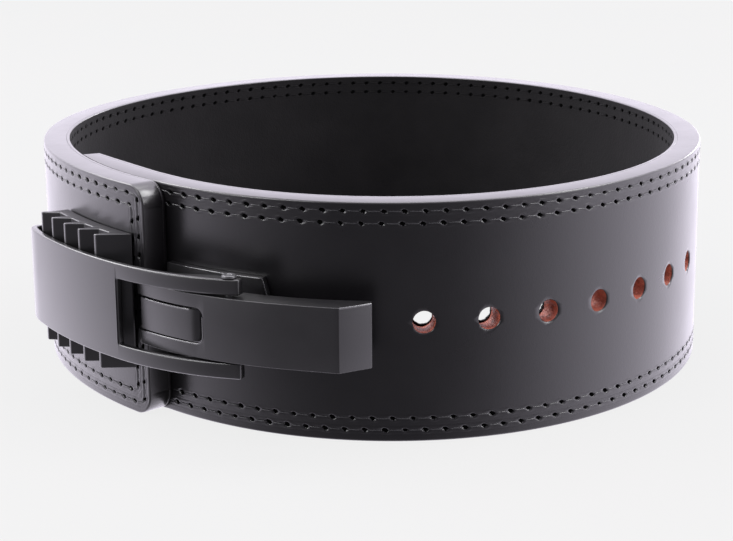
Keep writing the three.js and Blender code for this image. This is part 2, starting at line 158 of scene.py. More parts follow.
def finish_mesh(obj, smooth=30):
    """Smooth shading, with a crease where faces meet at more than some degrees."""
    mesh = obj.data
    mesh.polygons.foreach_set("use_smooth", np.ones(len(mesh.polygons), bool))
    mesh.set_sharp_from_angle(angle=math.radians(smooth))
    mesh.update()


def apply_modifiers(obj, smooth=30):
    graph = bpy.context.evaluated_depsgraph_get()
    mesh = bpy.data.meshes.new_from_object(obj.evaluated_get(graph))
    obj.modifiers.clear()
    obj.data = mesh
    finish_mesh(obj, smooth)


def combine(obj, operation, others):
    """A boolean with other objects, which are then removed."""
    for other in others:
        m = obj.modifiers.new("combine", "BOOLEAN")
        m.operation, m.solver, m.object = operation, "EXACT", other
        m.material_mode = "TRANSFER"
    apply_modifiers(obj)
    for other in others:
        bpy.data.objects.remove(other)


def soften(obj, width, segments=4, angle=28):
    """Rounds the edges where faces meet at more than some degrees."""
    m = obj.modifiers.new("soften", "BEVEL")
    m.width, m.segments, m.limit_method = width * MM, segments, "ANGLE"
    m.angle_limit, m.miter_outer = math.radians(angle), "MITER_ARC"
    m.use_clamp_overlap = True
    apply_modifiers(obj, 35)


def outward(verts, faces):
    """The faces of a closed shape, turned so that they look out of it."""
    v = np.array(verts, float)
    v -= v.mean(axis=0)
    volume = sum(np.dot(v[f[0]], np.cross(v[f[i]], v[f[i + 1]])) for f in faces for i in range(1, len(f) - 1))
    return faces if volume > 0 else [f[::-1] for f in faces]


def between_rings(name, low_ring, high_ring):
    """A closed painted piece between two rings of as many places."""
    k = len(low_ring)
    verts = [*low_ring, *high_ring]
    faces = [[i, (i + 1) % k, k + (i + 1) % k, k + i] for i in range(k)]
    faces += [list(range(k))[::-1], list(range(k, 2 * k))]
    return new_object(name, verts, outward(verts, faces), [PAINT_MAT])


def prism(name, outline, low, high):
    """An outline of (t, n) places raised between two heights about the buckle's middle."""
    t, n = np.array(outline, float).T
    return between_rings(name, spot(t, n, ROW + low), spot(t, n, ROW + high))


def placed_prism(name, outline, matrix, height):
    """An outline of (x, y) places raised along Z, then placed."""
    return between_rings(name, *[[matrix @ (Vector((x, y, h)) * MM) for x, y in outline] for h in (0, height)])


def square_frame(t, n, z=ROW):
    """Matrix of a piece square to the strap: X along it, Y up, Z away from it."""
    d = tangent_at(turn_at(t))
    m = Matrix(((d[0], 0, d[1]), (d[1], 0, -d[0]), (0, 1, 0))).to_4x4()
    m.translation = Vector(spot(t, n, z))
    return m


def turned(name, profile, matrix, materials, bands=None, sides=48):
    """A profile of (radius, height) turned about Z, then placed; bands gives each ring of faces its material."""
    angle = np.linspace(0, 2 * np.pi, sides, endpoint=False)
    verts, rings, faces, index = [], [], [], []
    for r, h in profile:
        on_axis = r < 1e-6
        rings.append([len(verts)] if on_axis else list(range(len(verts), len(verts) + sides)))
        verts += [(0, 0, h)] if on_axis else [(r * math.cos(a), r * math.sin(a), h) for a in angle]
    for i, (a, b) in enumerate(zip(rings, rings[1:])):
        for j in range(sides):
            k = (j + 1) % sides
            if len(a) == 1:
                faces.append([a[0], b[k], b[j]])
            elif len(b) == 1:
                faces.append([a[j], a[k], b[0]])
            else:
                faces.append([a[j], a[k], b[k], b[j]])
            index.append(bands[i] if bands else 0)
    return new_object(name, [matrix @ (Vector(v) * MM) for v in verts], faces, materials, index)


def arc(t, n, r, a0, a1, steps):
    a = np.radians(np.linspace(a0, a1, steps + 1))
    return [(t + r * math.cos(x), n + r * math.sin(x)) for x in a]


def follow(t0, t1, n_at, step=2.5):
    """Places along a curve, no further apart than a step."""
    k = max(1, math.ceil(abs(t1 - t0) / step))
    return [(t, n_at(t)) for t in np.linspace(t0, t1, k + 1)]


def ease(x):
    """A smooth step from 0 to 1."""
    x = np.clip(x, 0, 1)
    return x * x * (3 - 2 * x)


def adopt(obj, slot, *nodes):
    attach(obj, "root")
    if nodes:
        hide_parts(*nodes)


# ---- materials ----
def node_material(name):
    m = bpy.data.materials.new(name)
    m.use_nodes = True
    return m, m.node_tree, m.node_tree.nodes["Principled BSDF"]


def add(tree, kind, **values):
    """A node, with values for its inputs or its own settings."""
    n = tree.nodes.new(kind)
    for k, v in values.items():
        if k in n.inputs:
            n.inputs[k].default_value = v
        else:
            setattr(n, k, v)
    return n


def ramp(tree, source, stops):
    r = tree.nodes.new("ShaderNodeValToRGB")
    elements = r.color_ramp.elements
    while len(elements) < len(stops):
        elements.new(0.5)
    for element, (position, colour) in zip(elements, stops):
        element.position = position
        element.color = (*colour, 1)
    tree.links.new(source, r.inputs["Fac"])
    return r.outputs["Color"]


VORONOI_SHARE = 0.35


def grain_material(name, dark, light, rough, scale, bump, distance, spec=0.5, sheen=0.0, fine=1400.0):
    """Mottled colour and roughness from noise, and a bump of two grains."""
    m, tree, bsdf = node_material(name)
    link = tree.links.new
    place = add(tree, "ShaderNodeTexCoord").outputs["Object"]
    cloud = add(tree, "ShaderNodeTexNoise", Scale=scale, Detail=5.0, Roughness=0.6)
    link(place, cloud.inputs["Vector"])
    link(ramp(tree, cloud.outputs["Fac"], [(0.3, dark), (0.7, light)]), bsdf.inputs["Base Color"])
    spread = add(tree, "ShaderNodeMapRange")
    spread.inputs["To Min"].default_value, spread.inputs["To Max"].default_value = rough
    link(cloud.outputs["Fac"], spread.inputs["Value"])
    link(spread.outputs["Result"], bsdf.inputs["Roughness"])
    cells = add(tree, "ShaderNodeTexVoronoi", Scale=fine)
    link(place, cells.inputs["Vector"])
    grain = add(tree, "ShaderNodeTexNoise", Scale=fine * 0.4, Detail=4.0)
    link(place, grain.inputs["Vector"])
    mix = add(tree, "ShaderNodeMix", data_type="FLOAT")
    mix.inputs[0].default_value = VORONOI_SHARE
    link(grain.outputs["Fac"], mix.inputs[2])
    link(cells.outputs["Distance"], mix.inputs[3])
    relief = add(tree, "ShaderNodeBump", Strength=bump, Distance=distance)
    link(mix.outputs[0], relief.inputs["Height"])
    link(relief.outputs["Normal"], bsdf.inputs["Normal"])
    bsdf.inputs["Specular IOR Level"].default_value = spec
    bsdf.inputs["Sheen Weight"].default_value = sheen
    return m


LEATHER_MAT = grain_material("leather_face", (0.0022, 0.002, 0.0024), (0.004, 0.0037, 0.0043),
                             (0.24, 0.34), 30.0, 0.18, 0.0002)
RIM_MAT = grain_material("painted_rim", (0.006, 0.0055, 0.006), (0.012, 0.011, 0.012),
                         (0.26, 0.36), 60.0, 0.2, 0.0002, fine=700.0)
LINING_MAT = grain_material("suede_lining", (0.0046, 0.0043, 0.0047), (0.008, 0.0075, 0.008),
                            (0.85, 0.98), 45.0, 0.5, 0.0004, spec=0.12, sheen=0.02, fine=1100.0)
RAW_MAT = grain_material("raw_leather", (0.13, 0.028, 0.016), (0.42, 0.105, 0.062),
                         (0.45, 0.7), 420.0, 0.7, 0.0006, spec=0.4, fine=1300.0)
THREAD_MAT = grain_material("thread", (0.006, 0.006, 0.0065), (0.014, 0.014, 0.015),
                            (0.3, 0.42), 900.0, 0.4, 0.0002, fine=4000.0)
# Painted shade: black with no gloss, laid in the bottom of each needle hole to stand for the hole's darkness
PAINTED_HOLE_SHADE_MAT = grain_material("needle_hole_painted_shade", (0.001, 0.001, 0.001), (0.002, 0.002, 0.002),
                         (0.95, 1.0), 900.0, 0.2, 0.0001, spec=0.0)
PAINT_MAT = grain_material("powder_coat", (0.004, 0.0039, 0.0042), (0.006, 0.0058, 0.0063),
                           (0.28, 0.34), 80.0, 0.18, 0.00012, spec=0.62, fine=2600.0)
# Painted highlight: three times lighter than the powder coat, for the beads along the buckle's edges; their gloss
# comes from the lower roughness
EDGE_HIGHLIGHT_MAT = grain_material("edge_painted_highlight", (0.012, 0.012, 0.0125), (0.02, 0.02, 0.021),
                          (0.16, 0.22), 80.0, 0.05, 0.0001, spec=1.0, fine=2600.0)
STEEL_MAT = grain_material("blackened_steel", (0.02, 0.02, 0.021), (0.035, 0.035, 0.037),
                           (0.28, 0.38), 200.0, 0.15, 0.0001, spec=0.7, fine=3000.0)


# ---- the strap and its lining ----
def rounded_inside(s, z, end_margin, low, high, radius):
    """Depth inside a rounded rectangle set back from the strap's outline."""
    qs = np.abs(s - STRAP_LENGTH / 2) - (STRAP_LENGTH / 2 - end_margin) + radius
    qz = np.abs(z - (HEIGHT + low - high) / 2) - (HEIGHT - low - high) / 2 + radius
    outside = np.hypot(np.maximum(qs, 0), np.maximum(qz, 0))
    return -(outside + np.minimum(np.maximum(qs, qz), 0) - radius)


# Rows of stitches: how far in from the end, the lower and the upper edge, and the radius of their turn
STITCH_ROWS = [(3.5, 5.0, 3.6, 3.0), (7.5, 10.0, 8.6, 1.5)]
STITCH_PITCH = 7.9


def trench(s, z, reach=1.1, slope=0.5):
    """Share of the shallow channel under each seam ribbon."""
    away = [np.abs(rounded_inside(s, z, *row)) for row in STITCH_ROWS]
    return np.clip((reach - np.minimum(*away)) / slope, 0, 1)


def wave(s, z):
    """Gentle unevenness of the leather's face, up to 0.15 deep."""
    swell = 0.10 * np.sin(s * 0.055 + 0.7) * np.sin(z * 0.05 + 1.3) + 0.05 * np.sin(s * 0.021 + z * 0.08)
    return np.maximum(0, swell)


# Where the band has vertices: from its lower edge, from its upper edge, and from its ends
LOW_LEVELS = [0, 0.12, 0.35, 0.7, 1.15, 1.7, 2.3, 3.2, 4.0, 4.5, 5.0, 5.5, 6.0, 7.2, 8.6, 9.3, 10.0, 10.7,
              11.4, 13, 17, 22, 28, 34]
HIGH_LEVELS = [0, 0.12, 0.35, 0.7, 1.15, 1.7, 2.3, 2.7, 3.1, 3.6, 4.1, 4.6, 5.6, 6.6, 7.4, 8.0, 8.6, 9.2,
               9.8, 11, 13, 17, 22, 28, 34]
MIDDLE_LEVELS = [40, 44, 46.5, 48.5, 50.5, 52.5, 54.5, 57, 61]
END_STATIONS = [0.12, 0.35, 0.7, 1.15, 2.7, 3.1, 3.5, 3.9, 4.3, 6.7, 7.1, 7.5, 7.9, 8.3]
END_ZONE, END_STEP, MIDDLE_STEP = 26, 0.8, 2.6
EDGE_ZONE = 14
UNDER_OVERLAP_ROUND = 0.25
FACE_START = 0.9


def stations():
    """Places along the strap with a column of vertices, closer together near its ends."""
    corner = END_CORNER * (1 - np.cos(np.linspace(0, np.pi / 2, 10)))
    near = np.arange(corner[-1] + END_STEP, END_ZONE, END_STEP)
    half = np.unique(np.concatenate([corner, END_STATIONS, near]))
    count = int((STRAP_LENGTH - 2 * END_ZONE) / MIDDLE_STEP)
    return np.concatenate([half, np.linspace(END_ZONE, STRAP_LENGTH - END_ZONE, count), STRAP_LENGTH - half[::-1]])


def levels(s):
    """Heights of each column's vertices; only the middle ones draw together where a corner is rounded."""
    z = np.concatenate([LOW_LEVELS + MIDDLE_LEVELS, HEIGHT - np.array(HIGH_LEVELS[::-1])])
    into_corner = np.maximum(0, END_CORNER - np.minimum(s, STRAP_LENGTH - s))
    low = (END_CORNER - np.sqrt(np.maximum(0, END_CORNER ** 2 - into_corner ** 2)))[:, None]
    span = HEIGHT - 2 * low
    squeeze = (span - 2 * EDGE_ZONE) / (HEIGHT - 2 * EDGE_ZONE)
    middle = EDGE_ZONE + (z - EDGE_ZONE) * squeeze
    upper = span - (HEIGHT - z)
    return low + np.where(z <= EDGE_ZONE, z, np.where(z >= HEIGHT - EDGE_ZONE, upper, middle))


def band(name, inner, outer, round_inner, round_outer, groove_in, groove_out, materials, rim_depth):
    """A layer of the strap between two distances from its middle, with rounded edges and painted rims."""
    s = stations()
    z = levels(s)
    rows, k = z.shape
    s = np.repeat(s[:, None], k, 1)
    depth = np.maximum(0, rounded_inside(s, z, 0, 0, 0, END_CORNER))

    def shoulder(r):
        r = np.where(s < OVERLAP, np.minimum(r, UNDER_OVERLAP_ROUND), r)
        d = np.minimum(depth, r)
        return r - np.sqrt(np.maximum(0, r * r - (r - d) ** 2))

    groove = trench(s, z)
    sunk = groove * groove_out + wave(s, z) * (groove_out > 0)
    out = outer - shoulder(round_outer) - sunk * (depth > FACE_START)
    inn = inner + shoulder(round_inner) + groove * groove_in
    verts = np.concatenate([on_strap(s.ravel(), face.ravel(), z.ravel()) for face in (out, inn)])
    base = rows * k
    faces, index = [], []
    for i in range(rows - 1):
        for j in range(k - 1):
            p = i * k + j
            rim = depth[i:i + 2, j:j + 2].mean() < rim_depth
            faces.append([p, p + k, p + k + 1, p + 1])
            faces.append([base + p, base + p + 1, base + p + k + 1, base + p + k])
            index += [int(rim), int(rim)]
        for j, flip in ((0, False), (k - 1, True)):
            p = i * k + j
            f = [p, base + p, base + p + k, p + k]
            faces.append(f[::-1] if flip else f)
            index.append(1)
    for i, flip in ((0, False), (rows - 1, True)):
        for j in range(k - 1):
            p = i * k + j
            f = [p, p + 1, base + p + 1, base + p]
            faces.append(f[::-1] if flip else f)
            index.append(1)
    return new_object(name, verts, faces, materials, index, smooth=50)


HOLE_SIDES = 40
# The suede's holes are narrower than the leather's, and a little off their middle
SUEDE_IN, SUEDE_SHIFT = 0.4, (0.4, 0.3)


def hole_cutter(t, radius, lip, wall_material, lip_material):
    """A cutter with a small round lip at both faces of the strap."""
    wide, slope, flare = radius + lip, lip * 0.4, radius + lip + 0.6
    profile = [(0, -WALL - 1), (flare, -WALL - 1), (wide, -WALL - 0.02), (radius + slope, slope - WALL),
               (radius, lip - WALL), (radius, -lip), (radius + slope, -slope), (wide, 0.02), (flare, 0.14),
               (0, 0.14)]
    return turned("cutter", profile, square_frame(t, 0, HOLE_ROW), [wall_material, lip_material],
                  [1, 1, 1, 1, 0, 1, 1, 1, 1], sides=HOLE_SIDES)


def make_ragged(cutter, t, amount):
    """Draws a cutter's sides in, each of them by another distance."""
    axis = square_frame(t, 0, HOLE_ROW)
    back = axis.inverted()
    wobble = SUEDE_IN + np.abs(rng.normal(0, amount, HOLE_SIDES))
    for v in cutter.data.vertices:
        x, y, h = back @ v.co
        r = math.hypot(x, y)
        if r > 1e-4:
            side = int(round(math.atan2(y, x) / (2 * math.pi) * HOLE_SIDES)) % HOLE_SIDES
            k = 1 - wobble[side] * MM / r
            v.co = axis @ Vector((x * k + SUEDE_SHIFT[0] * MM, y * k + SUEDE_SHIFT[1] * MM, h))


between_layers = CLEAR + LINING - WALL / 2
strap = band("belt_leather", between_layers, WALL / 2, 0.12, 0.8, 0.0, 0.75,
             [LEATHER_MAT, RIM_MAT, RAW_MAT], 0.8)
combine(strap, "DIFFERENCE", [hole_cutter(t, PUNCH_RADIUS, 0.55, RAW_MAT, LEATHER_MAT) for t in PUNCHES])
finish_mesh(strap, 40)
adopt(strap, "leather", "strap_leather")

lining = band("belt_lining", -WALL / 2, between_layers - 0.02, 0.4, 0.1, 0.6, 0.0, [LINING_MAT, RIM_MAT], 0.3)
suede_cutters = [hole_cutter(t, PUNCH_RADIUS, 0.25, LINING_MAT, LINING_MAT) for t in PUNCHES]
for cutter, t in zip(suede_cutters, PUNCHES):
    make_ragged(cutter, t, 0.18)
combine(lining, "DIFFERENCE", suede_cutters)
finish_mesh(lining, 40)
adopt(lining, "lining", "strap_lining")


# ---- stitches ----
def row_path(end_margin, low, high, radius):
    """One closed row of stitches: its length, and a function from run to (s, z)."""
    x0, x1 = end_margin + radius, STRAP_LENGTH - end_margin - radius
    z0, z1 = low + radius, HEIGHT - high - radius
    corners = [(x1, z0, -90), (x1, z1, 0), (x0, z1, 90), (x0, z0, 180)]
    p = [place for x, z, a0 in corners for place in arc(x, z, radius, a0, a0 + 90, 8)]
    p = np.array(p + p[:1])
    run = np.concatenate([[0], np.cumsum(np.hypot(*np.diff(p, axis=0).T))])
    return run[-1], lambda x: (np.interp(x % run[-1], run, p[:, 0]), np.interp(x % run[-1], run, p[:, 1]))


def with_heading(path, run, small=0.3):
    """Places at some runs along a row, and the row's heading there."""
    s1, z1 = path(run - small)
    s2, z2 = path(run + small)
    return *path(run), np.arctan2(z2 - z1, s2 - s1)


# A stitch's ribbon of skin has vertices at these places about its needle hole
ALONG = np.array([-1.6, -1.1, -0.7, -0.3, 0.1, 0.5, 0.9, 1.35, 1.9, 2.9, 4.6])
ACROSS = np.array([-1.9, -1.35, -1.0, -0.66, -0.22, 0.22, 0.66, 1.0, 1.35, 1.9])
# Needle holes: half length and width, spread in slant and size, where they start to dip, and where their painted
# shade begins
NEEDLE_LENGTH, NEEDLE_WIDTH = 1.55, 0.95
SLANT, SLANT_SPREAD, SIZE_SPREAD = -16, 4, 0.06
DIP_START, DIP_SLOPE, SHADE_START = 1.12, 0.75, 0.76
LIP_RISE, LIP_AT, LIP_WIDTH = 0.12, 1.22, 0.26
# The channel pressed by the thread, deeper where a row runs upright
CHANNEL, CHANNEL_UPRIGHT, CHANNEL_WIDTH = 0.12, 0.28, 0.42
# A thread's middle from one hole to the next: run, height above the face, and place across the row
THREAD_RUN = np.array([0.9, 1.4, 2.3, 5.6, 6.5, 7.0])
THREAD_RISE = np.array([-0.8, -0.25, -0.02, -0.02, -0.25, -0.8])
THREAD_SIDE = np.array([0.12, 0.08, 0, 0, -0.08, -0.12])
THREAD_WIDTH, THREAD_HEIGHT, THREAD_SIDES, THREAD_SUNK = 0.28, 0.24, 5, 0.25


def seams(name, level, sign, deep, skin, thread, uneven):
    """Ribbons of the strap's skin with a needle hole at each stitch, its bottom in painted shade, and the threads
    between holes.
    """
    verts, faces, index = [], [], []

    def sheet(s, z, lift, closed_rows, closed_columns, material_at):
        rows, columns = s.shape
        start = len(verts)
        verts.extend(on_strap(s.ravel(), (level + sign * lift).ravel(), z.ravel()))
        for i in range(rows if closed_rows else rows - 1):
            for j in range(columns if closed_columns else columns - 1):
                i2, j2 = (i + 1) % rows, (j + 1) % columns
                q = [start + a * columns + b for a, b in ((i, j), (i, j2), (i2, j2), (i2, j))]
                faces.append(q[::-1] if sign < 0 else q)
                index.append(material_at(i, j))

    def ribbon(path, centres, stretch):
        count = len(centres)
        s, z, heading = with_heading(path, (centres[:, None] + ALONG * stretch).ravel())
        heading = heading[:, None]
        s = s[:, None] - ACROSS * np.sin(heading)
        z = z[:, None] + ACROSS * np.cos(heading)
        u = np.tile(ALONG, count)[:, None]
        v = np.broadcast_to(ACROSS, s.shape)
        slant = np.repeat(np.radians(rng.normal(SLANT, SLANT_SPREAD, count)), len(ALONG))[:, None]
        size = np.repeat(rng.normal(1, SIZE_SPREAD, count), len(ALONG))[:, None]
        q = np.hypot((u * np.cos(slant) + v * np.sin(slant)) / NEEDLE_LENGTH,
                     (v * np.cos(slant) - u * np.sin(slant)) / NEEDLE_WIDTH) / size
        hole = deep * ease((DIP_START - q) / DIP_SLOPE)
        channel = (CHANNEL + CHANNEL_UPRIGHT * np.abs(np.sin(heading))) * np.exp(-(v / CHANNEL_WIDTH) ** 2)
        lip = LIP_RISE * np.exp(-((q - LIP_AT) / LIP_WIDTH) ** 2)
        lift = 0.02 + lip - np.maximum(hole, channel)
        lift[:, [0, -1]] = -0.012
        if uneven:
            lift = lift - wave(s, z)
        dark = q < SHADE_START

        # Faces well inside a needle hole get the black of its painted shade
        def material_at(i, j):
            i2 = (i + 1) % len(dark)
            return 2 if dark[[i, i, i2, i2], [j, j + 1, j, j + 1]].sum() >= 2 else 1

        sheet(s, z, lift, True, False, material_at)

    def threads(path, centres, stretch):
        ring = np.linspace(0, 2 * np.pi, THREAD_SIDES, endpoint=False) + math.pi / 10
        across = THREAD_SIDE[:, None] + THREAD_WIDTH * np.cos(ring)
        rise = (THREAD_RISE * min(1, deep / 0.65))[:, None] + THREAD_HEIGHT * np.sin(ring)
        for at in centres:
            s, z, heading = with_heading(path, at + THREAD_RUN * stretch)
            s, z, heading = s[:, None], z[:, None], heading[:, None]
            sheet(s - across * np.sin(heading), z + across * np.cos(heading),
                  rise - THREAD_SUNK * np.abs(np.sin(heading)), False, True, lambda i, j: 0)

    for row in STITCH_ROWS:
        length, path = row_path(*row)
        count = int(round(length / STITCH_PITCH))
        pitch = length / count
        centres = (np.arange(count) + 0.5) * pitch
        ribbon(path, centres, pitch / STITCH_PITCH)
        threads(path, centres, pitch / STITCH_PITCH)
    return new_object(name, verts, faces, [thread, skin, PAINTED_HOLE_SHADE_MAT], index, smooth=80)


adopt(seams("stitches_outer", WALL / 2, 1, 0.68, LEATHER_MAT, THREAD_MAT, True), "leather")
adopt(seams("stitches_inner", -WALL / 2, -1, 0.5, LINING_MAT, LINING_MAT, False), "lining")


# ---- the rack ----
def rack_outline():
    end = FIRST_FIN + 8.4
    under = PITCH + CLEAR
    o = follow(LAST_FIN + FIN_REACH - FIN_ROOT, end, lambda t: under)
    o.append((end, under + 0.9))
    for fin in range(FINS):
        tip = FIRST_FIN - FIN_PITCH * fin
        if fin:
            o.append((tip + FIN_REACH, RACK_FLOOR))
        o.append((tip, FIN_TIP))
        o.append((tip - FIN_EDGE, FIN_TIP))
        o.append((tip + FIN_REACH - FIN_ROOT, RACK_FLOOR))
    return o


rack = prism("rack_plate", rack_outline(), -29.2, 29.2)
soften(rack, 0.65)
adopt(rack, "buckle_paint", "rack")


# ---- the bail ----
HOOK_REACH, HOOK_HEIGHT, HOOK_WALL = 11.8, 10.2, 2.7
WINDOW_START, ARM_END = 30.2, 81.5
EYE_START, EYE_LENGTH = 3.2, 18
BAIL_HALF, WINDOW_HALF = 20.7, 14.1


def bail_outer(t):
    curl = max(0.0, (LAST_FIN - t) / HOOK_REACH)
    arm = max(0.0, (t - WINDOW_START) / (ARM_END - WINDOW_START))
    return BAIL_OUT - 1.5 * curl ** 2 - 6.4 * arm ** 2


def bail_inner(t):
    """The frame's inner face, which swells to an eye round the pin."""
    eye = ease((t - BAIL_PIN[0] + EYE_START + EYE_LENGTH) / EYE_LENGTH)
    return (bail_outer(t) - BAIL_THICKNESS) * (1 - eye) + (BAIL_PIN[1] - 2.3) * eye


def bail_outline():
    left = LAST_FIN - HOOK_REACH
    top = bail_outer(left)
    bottom = BAIL_OUT - HOOK_HEIGHT
    inside, floor_in = left + HOOK_WALL, bottom + HOOK_WALL

    def lip(n):
        return LAST_FIN - FIN_EDGE + 1.6 / FIN_HEIGHT * (FIN_TIP - n) - 2 * CLEAR

    return [
        *follow(left + 2.4, ARM_END, bail_outer, 2.0),
        *follow(ARM_END, inside + 1.2, bail_inner, 2.0),
        (inside + 0.35, top - 3.4), (inside, top - 4.2),
        (inside, floor_in + 1.2), (inside + 0.35, floor_in + 0.35), (inside + 1.2, floor_in),
        (lip(floor_in), floor_in), (lip(bottom), bottom),
        (left + 2.4, bottom), (left + 1.1, bottom + 0.4), (left + 0.35, bottom + 1.2), (left, bottom + 2.4),
        (left, top - 2.4), (left + 0.35, top - 1.2), (left + 1.1, top - 0.4),
    ]


def through(t0, t1):
    """Outline of a cutter from one place along the strap to another, through all of the buckle."""
    return [*follow(t0, t1, lambda t: 12.0), *follow(t1, t0, lambda t: 34.0)]


bail = prism("bail_frame", bail_outline(), -BAIL_HALF, BAIL_HALF)
combine(bail, "DIFFERENCE", [prism("window", through(WINDOW_START, 86), -WINDOW_HALF, WINDOW_HALF)])
soften(bail, 0.75)
adopt(bail, "buckle_paint", "bail")


# ---- the lever ----
LEVER_HALF, LEVER_PLATE, LEVER_BACK = 13.3, 2.2, 13.0
SHOULDER, LEVER_TIP, TIP_FALL = 117.8, 128.1, 8.5
TONGUE_END, TONGUE_HALF, TONGUE_CORNER, SLOT_GAP = 66.9, 6.6, 2.5, 1.0


def lever_outer(t):
    dip = max(0.0, (62.2 - t) / 25.0)
    rise = max(0.0, (t - 98.0) / 19.8)
    return 24.0 - 2.0 * dip ** 2 + 1.2 * rise ** 2


def lever_outline():
    crown = lever_outer(PIVOT[0])
    return [
        *arc(*PIVOT, 5.0, -30, -225, 16),
        (PIVOT[0] - 2.6, crown - 1.1), (PIVOT[0] - 1.6, crown - 0.35),
        *follow(PIVOT[0], SHOULDER, lever_outer, 2.0),
        (LEVER_TIP, lever_outer(SHOULDER) - TIP_FALL), (LEVER_TIP, LEVER_BACK + 1.1), (LEVER_TIP - 1.1, LEVER_BACK),
        *follow(LEVER_TIP - 3, PIVOT[0] + 5.0, lambda t: LEVER_BACK, 2.5),
    ]


def hollow_outline(start=27.2, end=106.1):
    """The channel behind the lever's plate."""
    return [
        *follow(start, end, lambda t: 3.3),
        *follow(end, PIVOT[0], lambda t: lever_outer(t) - LEVER_PLATE, 2.0),
        (start, lever_outer(PIVOT[0]) - LEVER_PLATE),
    ]


def tongue_blank(gap, low):
    """A block with the lock tongue's outline from the front, grown by a gap on all sides."""
    half, corner = TONGUE_HALF + gap, TONGUE_CORNER + gap
    middle = (PIVOT[0] + TONGUE_END) / 2
    matrix = square_frame(middle, low)
    along = np.array(matrix.to_3x3())[:, 0]

    def reach(t):
        return float((spot(t, 24.0, ROW) - spot(middle, 0.0, ROW)) @ along) / MM

    end, start = reach(TONGUE_END + gap), reach(PIVOT[0] - 10)
    outline = [(start, -half), *arc(end - corner, corner - half, corner, -90, 0, 8),
               *arc(end - corner, half - corner, corner, 0, 90, 8), (start, half)]
    return placed_prism("blank", outline, matrix, 30.0 - low)


lever = prism("lever_handle", lever_outline(), -LEVER_HALF, LEVER_HALF)
combine(lever, "DIFFERENCE", [prism("hollow", hollow_outline(), -10.9, 10.9), tongue_blank(SLOT_GAP, PIVOT[1])])
soften(lever, 0.6)
adopt(lever, "buckle_paint", "lever")


# ---- the lock tongue ----
def tongue_face(t):
    return lever_outer(t) - 0.15


def tongue_outline(roll_radius=4.2):
    roll = TONGUE_END - roll_radius
    out = tongue_face(roll) - roll_radius
    return [
        *arc(*PIVOT, 3.6, -20, -235, 16),
        *follow(PIVOT[0], roll, tongue_face, 2.0),
        *arc(roll, out, roll_radius, 78, -10, 10),
        *arc(roll, out, roll_radius - LEVER_PLATE, -10, 80, 6),
        *follow(roll - 4.2, PIVOT[0] + 7, lambda t: tongue_face(t) - LEVER_PLATE, 2.0),
    ]


tongue = prism("tongue_plate", tongue_outline(), -TONGUE_HALF, TONGUE_HALF)
combine(tongue, "INTERSECT", [tongue_blank(0.0, 2.0)])
soften(tongue, 0.7)
adopt(tongue, "buckle_paint", "lock_tongue")


# ---- the base ----
BASE_START, BASE_END, BASE_HALF, BASE_ROUND = 33.2, 85.5, 17.2, 3.2
BASE_TOP = 3.3


def base_trim(side):
    """A cutter that rounds the plate's end above or below its middle."""
    outline = [(3, side * 20), (3, 0)]
    outline += [(-BASE_ROUND * x ** 2, side * BASE_HALF * x) for x in np.linspace(0, 1, 13)]
    outline.append((-4.5, side * 20))
    return placed_prism("trim", outline, square_frame(BASE_END, -3), 9)


base = prism("base_plate", [*follow(BASE_START, BASE_END, lambda t: CLEAR),
                            *follow(BASE_END, BASE_START, lambda t: BASE_TOP)], -BASE_HALF, BASE_HALF)
ear = [(PIVOT[0] - 3.6, 1.8), (PIVOT[0] + 14, 1.8), (PIVOT[0] + 14, 3.6), *arc(*PIVOT, 3.6, 20, 180, 14)]
combine(base, "UNION", [prism("ear", ear, 8.4, 10.6), prism("ear", ear, -10.6, -8.4)])
combine(base, "DIFFERENCE", [base_trim(1), base_trim(-1)])
soften(base, 0.6)
adopt(base, "buckle_paint", "base")


# ---- smooth rounded edges that catch the light, with part of their highlight painted on as a lighter colour ----
def bead(name, places, radius, sides=12):
    """A thin rounded edge along places of (t, n, height about the buckle's middle), lighter than the coat as a
    painted highlight.
    """
    t, n, h = np.array(places, float).T
    q = spot(t, n, ROW + h)
    away = spot(t, n + 1, ROW + h) - q
    along = np.gradient(q, axis=0)
    along /= np.linalg.norm(along, axis=1)[:, None]
    side = np.cross(along, away)
    side /= np.linalg.norm(side, axis=1)[:, None]
    front = np.cross(side, along)
    w = np.linspace(0, 2 * np.pi, sides, endpoint=False)[None, :, None]
    rings = q[:, None] + radius * MM * (np.cos(w) * front[:, None] + np.sin(w) * side[:, None])
    faces = [[i * sides + j, i * sides + (j + 1) % sides, (i + 1) * sides + (j + 1) % sides, (i + 1) * sides + j]
             for i in range(len(q) - 1) for j in range(sides)]
    faces.append(list(range(sides))[::-1])
    faces.append(list(range((len(q) - 1) * sides, len(q) * sides)))
    adopt(new_object(name, rings.reshape(-1, 3), faces, [EDGE_HIGHLIGHT_MAT], smooth=60), "buckle_paint")


def edge_points(t0, t1, level, height, steps=24):
    return [(t, level(t), height) for t in np.linspace(t0, t1, steps)]


def slot_rim():
    """The slot's lower edge, its lower corner and its end; places out there lie 1.15 times further apart."""
    end, half, corner = TONGUE_END + SLOT_GAP, TONGUE_HALF + SLOT_GAP, TONGUE_CORNER + SLOT_GAP
    turn, level = corner / 1.15, lever_outer(end) - 0.25
    rim = edge_points(40, end - turn, lambda t: lever_outer(t) - 0.25, -half)
    rim += [(end - turn * (1 - math.sin(a)), level, corner - half - corner * math.cos(a))
            for a in np.radians(np.arange(15, 91, 15))]
    return rim + [(end, level, h) for h in (-2, 0, 2, half - corner)]


def tip_edge():
    """The upper edge of the lever's sloping end."""
    return [(t, lever_outer(SHOULDER) - 0.3 - TIP_FALL * (t - SHOULDER) / (LEVER_TIP - SHOULDER), LEVER_HALF - 0.25)
            for t in np.linspace(SHOULDER + 0.1, LEVER_TIP - 0.2, 12)]


